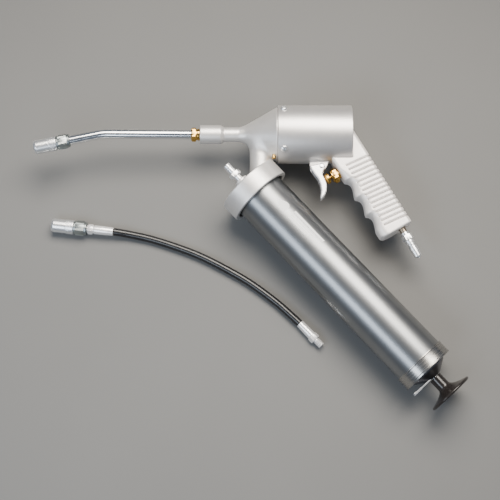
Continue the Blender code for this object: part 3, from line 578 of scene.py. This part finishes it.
def grip_field(x, y, z):
    s, n = axis_terms(x, y, GRIP_TOP, GRIP_ANGLE)
    depth = -n
    finger = (s - FINGER_START) / FINGER_PITCH
    scallop = np.where((finger > 0) & (finger < FINGER_COUNT),
                       np.sin(pi * np.mod(np.clip(finger, 0, FINGER_COUNT), 1) ** 0.62), 0.0)
    scallop = (np.sqrt(scallop ** 2 + BUMP ** 2) - BUMP) / (sqrt(1 + BUMP ** 2) - BUMP)
    curl = TOE - np.sqrt(TOE ** 2 - np.clip(s - GRIP_END + TOE, 0, TOE - 0.01) ** 2)
    front = GRIP_DEPTH - FINGER_DEPTH * scallop - curl
    corner = np.where(depth > front / 2, 3.0 + 6.0 * smooth_step(s, 24, 42), 5.0)
    body = edged(np.abs(depth - front / 2) - front / 2, np.abs(z) - GRIP_HALF, corner)
    body = np.maximum(edged(body, s - GRIP_END, 1.5), -s - 5.0)
    w = -x * sin(radians(RIB_ANGLE)) + y * cos(radians(RIB_ANGLE))
    phase = (RIB_FIRST - w) / RIB_PITCH
    nearest = np.clip(np.round(phase), 0, RIB_COUNT - 1)
    distance = (phase - nearest) * RIB_PITCH
    groove = GROOVE_DEPTH * np.exp(-(distance / GROOVE_REACH) ** 2)
    body = body + groove * smooth_step(n, RIB_FRONT - GROOVE_REACH, RIB_FRONT + GROOVE_REACH)
    r = np.sqrt(y * y + z * z)
    sleeve = outline_distance(r, x, [
        (-90, -60), (SLEEVE_R + GAP, -60), (SLEEVE_R + GAP, SLEEVE_REAR + GAP),
        (-90, SLEEVE_REAR + GAP)])
    body = np.maximum(body, -sleeve)
    plug = np.maximum(r - (SLEEVE_BORE - GAP), np.maximum(71.0 - x, x - 79.8))
    body = blended(body, plug, 2.0)
    t, m = axis_terms(x, y, VALVE_AT, VALVE_ANGLE)
    chamber = np.maximum(np.sqrt(m * m + z * z) - 5.6, np.maximum(12.0 - t, t - 34.0))
    t, m = axis_terms(x, y, INLET_AT, INLET_ANGLE)
    socket = np.maximum(np.sqrt(m * m + z * z) - 4.8, np.maximum(-14.0 - t, t - 4.0))
    return np.maximum(body, -np.minimum(chamber, socket))


TRIGGER_OUTLINE = [
    (-12.5, 0.7), (-12.3, -1.2), (-10.9, -4.2), (-7.8, -8.9), (-4.1, -13.8), (-1.8, -20.0),
    (-0.8, -27.2), (-1.6, -32.8), (-1.5, -36.0), (0.6, -35.2), (3.2, -32.0), (4.8, -27.8),
    (5.4, -22.2), (4.7, -17.6), (2.9, -13.4), (1.0, -9.4), (1.5, -6.2)] + [
    (EAR_R * cos(radians(a)), EAR_R * sin(radians(a))) for a in range(-30, 121, 15)]
TRIGGER_SLOT = [(-16.0, -1.4), (-10.4, -3.9), (-5.0, -5.8), (9.0, -5.8), (9.0, 9.0), (-16.0, 9.0)]
LUG_OUTLINE = [(34.7, -29.6), (34.7, -36.8), (38.0, -39.6), (43.0, -41.2), (49.5, -41.2),
               (52.2, -38.2), (55.3, -31.0), (55.3, -29.6)]


def trigger_field(x, y, z):
    body = edged(outline_distance(x, y, TRIGGER_OUTLINE), np.abs(z) - TRIGGER_HALF, 1.5)
    slot = np.maximum(np.abs(z) - LUG_HALF - 0.4, outline_distance(x, y, TRIGGER_SLOT))
    hole = np.sqrt(x * x + y * y) - 1.9
    return np.maximum(body, -np.minimum(slot, hole))


# ---------------------------------------------------------------- gun

def head_and_sleeve():
    head = cast(head_field, (-85.8, -97.0, -37.8), (16.0, 30.0, 37.8), HEAD_VOXEL)
    piece("head_skin", head, GUN, "head_casting", CAST, sharp=50)
    tube = turned([(SLEEVE_R, SLEEVE_REAR, 0.9), (SLEEVE_R, GAP, 0.5), (SLEEVE_BORE, GAP, 0.3),
                   (SLEEVE_BORE, SLEEVE_REAR, 0.5)], steps=160)
    lug = moved(extruded(LUG_OUTLINE, -LUG_HALF, LUG_HALF, 0.5), MOTOR.inverted() @ GUN)
    piece("sleeve_shell", joined(tube, lug), MOTOR, "motor_sleeve", SATIN)
    for number, angle in enumerate(SCREW_ANGLES, 1):
        a = radians(angle)
        outward = Vector((cos(a), sin(a), 0))
        place = (MOTOR @ Matrix.Translation((0, 0, SCREW_X))
                 @ outward.to_track_quat("Z", "Y").to_matrix().to_4x4())
        seat = SLEEVE_R + 0.1
        dome = turned([(0, seat + 2.4), (1.9, seat + 2.3, 1.5), (3.5, seat + 1.5, 1.2),
                       (3.95, seat, 0.1), (2.0, seat), (2.0, 23.0), (0, 23.0)], steps=48)
        arms = [moved(extruded([(-2.3, -0.45), (2.3, -0.45), (2.3, 0.45), (-2.3, 0.45)],
                               seat + 0.9, seat + 3.0, 0), Matrix.Rotation(turn, 4, "Z"))
                for turn in (0.4, 0.4 + pi / 2)]
        piece(f"sleeve_screw_head_{number}", carved(dome, *arms), place,
              f"sleeve_screw_{number}", ZINC)


def grip_and_trigger():
    grip = cast(grip_field, (52.0, -116.0, -30.0), (160.0, 30.0, 30.0))
    piece("grip_skin", grip, GUN, "grip_casting", CAST_GRIP, sharp=50)
    lever = cast(trigger_field, (-14, -38, -8), (8, 5, 8), TRIGGER_VOXEL)
    piece("trigger_lever", lever, TRIGGER, "trigger", SATIN_PLATE, sharp=50)
    pin = turned([(0, 7.3), (2.0, 7.2, 0.4), (2.5, TRIGGER_HALF + 0.2), (1.6, TRIGGER_HALF + 0.2),
                  (1.6, -TRIGGER_HALF - 0.2), (0, -TRIGGER_HALF - 0.5)], 0.15, 32)
    piece("trigger_pin_head", pin, TRIGGER, "trigger_pin", BRIGHT)
    nut = turned([(0, 19.5), (5.3, 19.5), (5.3, 15.0, 0)]
                 + hexagon(15.0, 9.6, 14.6) + [(6.6, 9.6, 0), (6.6, 8.0), (0, 8.0)],
                 0.2, flats=15.0)
    bore = turned(rod(6, 21, 1.9), 0, 24)
    piece("valve_nut_hex", carved(nut, bore), VALVE, "valve_nut", BRASS)
    stem = turned([(0, 29.0), (4.0, 29.0), (4.0, 26.5), (1.6, 26.0), (1.6, 5.4, 0.1),
                   (5.3, 5.4), (5.9, 4.8, 0.5), (6.0, 2.3, 0.7), (5.0, 1.4, 0.6), (2.0, 0.2),
                   (0, 0.1)], 0.25, 64)
    piece("valve_button", stem, VALVE, "valve_stem", BRASS)


def inlet_and_nipple():
    stub = turned([(4.4, 5.0), (3.7, 4.4, 0.2), (3.7, 0.6), (4.4, 0.2), (4.4, -12.0),
                   (2.4, -12.0), (2.4, 5.0)], 0.15, 64)
    piece("inlet_stub", stub, INLET, "air_inlet_bush", OLD_BRASS)
    plug = turned([(2.0, 35.8, 0.3), (2.9, 35.8, 0.3), (4.1, 34.4, 0.5), (4.4, 22.6, 0.4),
                   (3.6, 22.0, 0.3), (3.6, 20.8, 0.3), (4.5, 20.4), (4.5, 19.4), (3.6, 19.0),
                   (3.6, 18.2), (4.7, 17.8), (4.7, 14.9), (4.3, 14.7, 0)]
                  + hexagon(10.8, 8.2, 14.6)
                  + [(4.4, 8.1), (4.4, 5.0), (2.0, 5.0)], 0.15, flats=10.8)
    piece("inlet_plug", plug, INLET, "air_inlet_plug", ZINC)
    nipple = turned([(1.7, 22.2, 0.3), (3.0, 22.2, 0.5), (3.9, 21.2, 0.6), (3.9, 18.0, 0.2),
                     (3.6, 17.6, 0.2), (3.9, 17.2, 0.2), (3.9, 11.4, 0.2), (3.6, 11.0),
                     (3.6, 10.6, 0)] + hexagon(11.6, 5.2, 10.6, 0.8)
                    + [(3.6, 5.0, 0.2), (3.6, 0.3), (2.3, 0.1), (2.3, -7.2), (1.7, -7.2)],
                    0.2, flats=11.6)
    piece("filler_fitting", nipple, NIPPLE, "filler_nipple", ZINC)
    vent = turned([(0, 2.4), (1.4, 2.4, 0.4), (2.2, 1.8, 0.4), (2.2, 0.6), (1.6, 0.5),
                   (1.6, -4.0), (0, -4.0)], 0.2, 32)
    piece("vent_button", vent, VENT, "vent_plug", BRASS)


def knurl(a, r, z):
    """Crossed grooves round a coupler's grip band."""
    if r < 7.6 or not 14.9 < z < 22.9:
        return 0.0
    turns, rise, depth = 26, 3.0, 0.3
    return -depth * (1 - abs(sin(turns * a + z * rise)) * abs(sin(turns * a - z * rise)))


def coupler(prefix, place, socket):
    """Grease coupler whose hexagon has a socket of that radius for the pipe or the ferrule."""
    body = turned([(4.2, 18.6), (4.2, 14.2), (7.2, 14.2, 0.3), (7.2, 12.9, 0)]
                  + hexagon(14.6, 2.6, 12.6)
                  + [(7.2, 2.4, 0), (7.2, 0.6), (6.6, 0), (socket, 0), (socket, 9.0), (2.0, 9.0),
                     (2.0, 18.6)], 0.25, flats=14.6)
    piece(prefix + "coupler_hex", body, place, prefix + "coupler_body", KNURLED)
    sleeve = turned([(4.6, 39.2, 0.4), (6.4, 39.2, 1.4), (7.5, 36.8, 1.0), (7.5, 23.6, 0.2),
                     (7.2, 23.3, 0.1), (7.9, 22.9, 0.3), (7.9, 14.9, 0.3), (7.3, 14.5),
                     (4.5, 14.5), (4.5, 18.2), (6.0, 18.8), (6.0, 31.0), (4.9, 33.4)],
                    0.2, 180, relief=knurl, longest=0.7)
    piece(prefix + "coupler_nose", sleeve, place, prefix + "coupler_sleeve", ZINC, sharp=45)
    seal = turned(ring(19.0, 21.6, 1.6, 4.2), 0.4, 48)
    piece(prefix + "coupler_washer", seal, place, prefix + "coupler_seal", SEAL)
    dress(prefix + "coupler_jaws", CAD_STEEL)


def outlet_and_pipe():
    adapter = turned([(5.3, 9.4, 0.2), (6.6, 9.5, 0.2)]
                     + hexagon(14.0, 4.0, 9.0, 0.8)
                     + [(5.9, 3.9, 0.1), (5.9, 2.8), (6.45, 2.5), (6.45, GAP),
                        (CHECK_BORE - GAP, GAP), (CHECK_BORE - GAP, -12.5), (2.2, -12.5),
                        (2.2, 4.2), (5.3, 4.2)], 0.2, flats=14.0)
    piece("outlet_hex", adapter, OUTLET, "outlet_adapter", BRASS)
    start, corner = Vector((PIPE_START, 0)), Vector(PIPE_BEND)
    end = Vector(along(COUPLER_AT, COUPLER_ANGLE, 7.0))
    first, second = (corner - start).normalized(), (end - corner).normalized()
    half = first.angle(second) / 2
    side = Vector((-first.y, first.x))
    arc_start = corner - first * PIPE_BEND_R * tan(half)
    centre = arc_start + side * PIPE_BEND_R
    points = [start]
    for i in range(25):
        swing = 2 * half * i / 24
        points.append(centre - side * PIPE_BEND_R * cos(swing) + first * PIPE_BEND_R * sin(swing))
    points.append(end)
    pipe = swept([(p.x, p.y, 0.0) for p in points], PIPE_R, 14)
    piece("pipe_tube", pipe, GUN, "delivery_pipe", BRIGHT)
    coupler("", NOSE, PIPE_R + GAP)


def barrel_and_follower():
    tube = turned([(BARREL_R, BARREL_END, 0.3), (BARREL_R, BARREL_START, 0.4),
                   (BARREL_BORE, BARREL_START), (BARREL_BORE, BARREL_END)], 0.3, 160, longest=6)
    piece("barrel_shell", tube, BARREL, "barrel_tube", GUNMETAL)
    hole = ROD_R + GAP
    skirt = turned([
        (BARREL_R + GAP, CAP_START, 0.1), (BARREL_R + GAP, CAP_END - 1.9, 0.2),
        (hole, CAP_END - 1.9, 0), (hole, DOME_END - 0.6, 0.2), (DOME_TIP_R, DOME_END, 0.5),
        (DOME_R, DOME_START, 0.6), (DOME_R + 0.9, CAP_END - 0.7, 0.4),
        (CAP_R - 2.6, CAP_END - 0.9, 0.6), (CAP_R - 1.6, CAP_END, 0.6), (CAP_R, CAP_END, 0.9),
        (CAP_R, CAP_END - 2.2, 0.6), (CAP_R - 0.35, CAP_END - 2.9, 0.6),
        (CAP_R - 0.35, CAP_START + 1.8, 0.5), (CAP_R, CAP_START + 1.2, 0.4),
        (CAP_R, CAP_START, 0.3)][::-1], 0.3, 160)
    pocket = turned(rod(283.1, 286.8, 7.0), 0, 48)
    slot = extruded([(-16, -7.0), (0, -7.0), (0, 7.0), (-16, 7.0)], 282.6, 286.8, 0)
    cap = piece("cap_shell", carved(skirt, pocket, slot), BARREL, "barrel_end_cap", CAP_STEEL)
    # Faces of the dome take the darker copy, which paints shade on it.
    cap.data.materials.append(DOME_SHADED)
    for face in cap.data.polygons:
        spot = face.center
        if spot.z > CAP_END - 1.4 and sqrt(spot.x ** 2 + spot.y ** 2) < CAP_R - 2.0:
            face.material_index = 1
    lock = [(-LOCK_FULCRUM + 6.2 * cos(radians(a)), 6.2 * sin(radians(a)))
            for a in range(-90, 91, 10)]
    tab = -LOCK_FULCRUM - LOCK_TAB
    lock += [(tab + 1.9, 6.2), (tab + 0.6, 5.7), (tab, 4.4), (tab, -4.4), (tab + 0.6, -5.7),
             (tab + 1.9, -6.2)]
    plate = carved(extruded(lock, 0.0, LOCK_HIGH - LOCK_LOW, 0.4),
                   moved(turned(rod(-3, 5, 4.9), 0, 48), Matrix.Translation((-LOCK_FULCRUM, 0, 0))))
    lip = extruded([(tab, -4.4), (tab + 10, -4.4), (tab + 10, 4.4), (tab, 4.4)], -0.4, 2.2, 0.4)
    piece("lock_plate", joined(plate, lip), LOCK, "rod_lock_plate", SATIN_PLATE)
    flare, neck, count = HANDLE_END - 12.5, 6.9, 14
    grip = [(0, HANDLE_END), (HANDLE_R - 1.6, HANDLE_END, 1.2), (HANDLE_R, HANDLE_END - 1.4, 1.2),
            (HANDLE_R - 1.0, HANDLE_END - 3.0, 1.0)]
    for i in range(1, count + 1):
        f = i / count
        grip.append((neck + (HANDLE_R - 2.0 - neck) * (1 - f) ** 2.2,
                     HANDLE_END - 3.2 - (HANDLE_END - 3.2 - flare) * f, 0))
    grip += [(neck, HANDLE_START + 0.6), (neck - 0.6, HANDLE_START), (hole, HANDLE_START),
             (hole, ROD_END + GAP), (0, ROD_END + GAP)]
    piece("pull_handle", turned(grip, 0.3, 128), BARREL, "follower_handle", GLOSS_BLACK)
    piece("follower_bar", turned(rod(ROD_START, ROD_END, ROD_R), 0.4, 48), BARREL,
          "follower_rod", BRIGHT)
    nut = carved(turned([(0, 15.2), (0.01, 15.2)] + hexagon(13.0, 11.4, 15.2, 0.6)
                        + [(0.01, 11.4), (0, 11.4)], 0, flats=13.0),
                 turned(rod(10, 17, hole), 0, 48))
    piece("follower_hex", nut, BARREL, "follower_nut", BRIGHT)
    cup = turned([(hole, 24.0), (22.0, 24.0, 1.5), (25.5, 21.0, 3.0), (27.2, 14.0, 2.0),
                  (27.2, 9.0), (26.0, 9.0), (23.0, 15.5, 1.5), (hole, 15.5)], 0.3)
    piece("follower_seal", cup, BARREL, "follower_cup", SEAL)
    piece("follower_disc", turned(ring(24.3, 26.6, hole, 21.5), 0.4), BARREL,
          "follower_washer", BRIGHT)
    piece("collar_gasket", turned(ring(5.3, 7.0, 24.5, BARREL_R), 0.4), BARREL,
          "barrel_gasket", SEAL)
    spring("follower_coil", "follower_spring", BARREL, coil_r=17.0, wire=1.1,
           turns=9, fixed=CAP_END - 2.2, free=27.2)


# ---------------------------------------------------------------- printed mark

def on_barrel(t, n, lift):
    """Point on the barrel's skin that faces up, at a distance down it and round it."""
    r = BARREL_R + lift
    return (r * sin(n / BARREL_R), r * cos(n / BARREL_R), t)


def printed(rows):
    """Thin closed patch over the barrel from rows of (distance, round) points."""
    bm = bmesh.new()
    layers = [[[bm.verts.new(on_barrel(t, n, lift)) for t, n in row] for row in rows]
              for lift in (0.06, 0.01)]
    for layer in layers:
        for a, b in zip(layer, layer[1:]):
            for i in range(len(a) - 1):
                bm.faces.new((a[i], a[i + 1], b[i + 1], b[i]))
    top, low = layers
    border = (top[0] + [row[-1] for row in top[1:]] + top[-1][-2::-1]
              + [row[0] for row in top[-2:0:-1]])
    under = (low[0] + [row[-1] for row in low[1:]] + low[-1][-2::-1]
             + [row[0] for row in low[-2:0:-1]])
    for i in range(len(border)):
        j = (i + 1) % len(border)
        bm.faces.new((border[i], border[j], under[j], under[i]))
    bmesh.ops.recalc_face_normals(bm, faces=bm.faces)
    return mesh_from(bm, "printed")


def bar(t0, t1, n, width):
    """Stripe along the barrel with slanted ends."""
    slant = width * 0.35
    return printed([[(t0 + (t1 - t0) * i / 24 + slant * (k / 6 - 0.5), n + width * (k / 6 - 0.5))
                     for i in range(25)] for k in range(7)])


def drop(t, n, size):
    """Drop of grease that hangs down the barrel."""
    rows = []
    for k in range(9):
        side = k / 4 - 1
        row = []
        for i in range(25):
            f = i / 24
            half = size * 0.98 * sqrt(f * (1 - f)) * f ** 0.55
            row.append((t + size * (f - 0.5), n + side * max(half, 0.08)))
        rows.append(row)
    return printed(rows)


def mark():
    """Plain white print: a drop with three stripes beside it."""
    shapes = [drop(48.0, 6.0, 15.0)]
    for n, t0, t1 in ((10.4, 62.0, 106.0), (6.0, 62.0, 97.0), (1.6, 62.0, 88.0)):
        shapes.append(bar(t0, t1, n, 2.5))
    piece("barrel_mark", joined(*shapes), BARREL, "barrel_tube", PRINT, replaces=False)


# ---------------------------------------------------------------- loose hose

def smooth_route(route, count):
    """Evenly spaced points on a smooth curve through the route's own points."""
    route = [Vector(point) for point in route]
    dense = []
    for i in range(len(route) - 1):
        before = route[i - 1] if i else 2 * route[0] - route[1]
        after = route[i + 2] if i + 2 < len(route) else 2 * route[-1] - route[-2]
        for k in range(20):
            t = k / 20
            dense.append(0.5 * (2 * route[i] + (route[i + 1] - before) * t
                                + (2 * before - 5 * route[i] + 4 * route[i + 1] - after) * t ** 2
                                + (3 * route[i] - before - 3 * route[i + 1] + after) * t ** 3))
    dense.append(route[-1])
    reach = np.concatenate([[0.0], np.cumsum([(b - a).length for a, b in zip(dense, dense[1:])])])
    targets = np.linspace(0, reach[-1], count)
    return np.stack([np.interp(targets, reach, [p[k] for p in dense]) for k in range(3)], 1)


def hose():
    shank = 3.0
    coupler("hose_", HOSE_NOSE, shank + GAP)
    ferrule = turned([
        (shank, 8.6), (shank, -GAP), (4.4, -GAP, 0.1), (4.4, -1.0, 0)]
        + hexagon(9.8, -6.8, -1.1, 0.6)
        + [(4.3, -7.0, 0), (4.3, -7.6, 0.3), (4.9, -8.8, 0.6), (4.9, -16.0, 2.0),
           (4.45, -29.0, 0.3), (3.6, -29.0), (1.2, -28.0, 0), (1.2, 8.6)], 0.2, flats=9.8)
    first = piece("hose_coupler_sleeve_end", ferrule, HOSE_NOSE, "hose_coupler_ferrule",
                  SATIN_PLATE)
    thread = [(3.75 - 0.35 * (k % 2), 33.0 - 0.55 * k, 0.1) for k in range(13)]
    fitting = turned([(1.2, 33.6), (3.4, 33.6, 0.3)] + thread
                     + [(3.3, 25.6), (3.3, 24.9, 0)] + hexagon(9.8, 18.4, 24.6, 0.6)
                     + [(4.6, 18.0, 0), (4.7, 16.6, 0.6), (4.35, 2.0, 1.0), (4.2, 0.2, 0.3),
                        (3.4, 0.2), (1.2, 1.0, 0)], 0.15, flats=9.8)
    last = piece("hose_thread_fitting", fitting, HOSE_THREAD, "hose_end_fitting", SATIN_PLATE)
    curve = bpy.data.curves.new("hose_line", "CURVE")
    curve.dimensions = "3D"
    curve.bevel_depth = HOSE_R * MM
    curve.bevel_resolution = 8
    curve.use_fill_caps = True
    spline = curve.splines.new("POLY")
    points = smooth_route(HOSE_ROUTE, 150)
    spline.points.add(len(points) - 1)
    for point, spot in zip(spline.points, points):
        point.co = (*spot, 1)
    curve.materials.append(HOSE_RUBBER)
    line = bpy.data.objects.new("hose_line", curve)
    bpy.context.scene.collection.objects.link(line)
    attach(line, BODY_OF["hose_tube"])
    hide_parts("hose_tube")


# ---------------------------------------------------------------- inner parts

def inner_parts():
    spring("piston_coil", "return_spring", MOTOR, coil_r=14.0, wire=1.1,
           turns=6, fixed=SPIGOT_REAR + GAP, free=PISTON_FRONT - GAP)
    spring("outlet_coil", "outlet_spring", OUTLET, coil_r=3.2, wire=0.5,
           turns=4, fixed=-13.0, free=-18.6)
    spring("valve_coil", "valve_spring", VALVE, coil_r=3.4, wire=0.4, turns=3,
           fixed=33.4, free=29.3)
    for node in ("plunger", "outlet_check_ball", "filler_check_ball", "air_piston"):
        dress(node, CAD_STEEL)
    dress("plunger_bush", CAD_BRASS)
    dress("piston_seal", CAD_SEAL)


# ---------------------------------------------------------------- stage

def light(name, place, target, size, power, spread, colour):
    """Soft box in metres and watts that shines at a target; its spread is in degrees."""
    lamp = bpy.data.lights.new(name, "AREA")
    lamp.shape = "RECTANGLE"
    lamp.size, lamp.size_y = size
    lamp.energy = power
    lamp.spread = radians(spread)
    lamp.color = colour
    obj = bpy.data.objects.new(name, lamp)
    bpy.context.scene.collection.objects.link(obj)
    obj.location = place
    obj.rotation_euler = (Vector(target) - Vector(place)).to_track_quat("-Z", "Y").to_euler()


def stage():
    bm = bmesh.new()
    bmesh.ops.create_grid(bm, x_segments=8, y_segments=8, size=3.0)
    floor = bpy.data.objects.new("floor", mesh_from(bm, "floor"))
    bpy.context.scene.collection.objects.link(floor)
    floor.data.materials.append(surface(
        "bench_paper", (0.174, 0.173, 0.168), 0.0, 0.75, grain=0.4, relief=0, patch=0.004,
        patches=0.03, unit=1000.0))
    world = bpy.data.worlds.new("studio")
    bpy.context.scene.world = world
    world.use_nodes = True
    background = world.node_tree.nodes["Background"]
    background.inputs["Color"].default_value = (0.58, 0.65, 0.78, 1)
    background.inputs["Strength"].default_value = 0.26
    light("top_softbox", (0.24, 0.62, 1.10), target=(-0.05, -0.16, 0), size=(1.2, 0.75),
          power=12.5, spread=90, colour=(1.0, 0.935, 0.84))
    light("low_fill", (-0.52, -0.52, 0.80), target=(-0.05, -0.05, 0), size=(1.0, 0.40),
          power=2.9, spread=110, colour=(0.80, 0.89, 1.0))

    camera_data = bpy.data.cameras.new("camera")
    camera_data.lens = LENS
    camera_data.sensor_width = 36.0
    camera = bpy.data.objects.new("camera", camera_data)
    bpy.context.scene.collection.objects.link(camera)
    back = Vector((0, -sin(VIEW_TILT), cos(VIEW_TILT)))
    up = Vector((0, cos(VIEW_TILT), sin(VIEW_TILT)))
    turn = Matrix((Vector((1, 0, 0)), up, back)).transposed().to_4x4()
    level = GUN @ Matrix.Translation(Vector((*VIEW_AT, 0)) + back * VIEW_DISTANCE) @ turn
    camera.matrix_world = level @ Matrix.Scale(1 / MM, 4)
    bpy.context.scene.camera = camera


head_and_sleeve()
grip_and_trigger()
inlet_and_nipple()
outlet_and_pipe()
barrel_and_follower()
mark()
hose()
inner_parts()
stage()
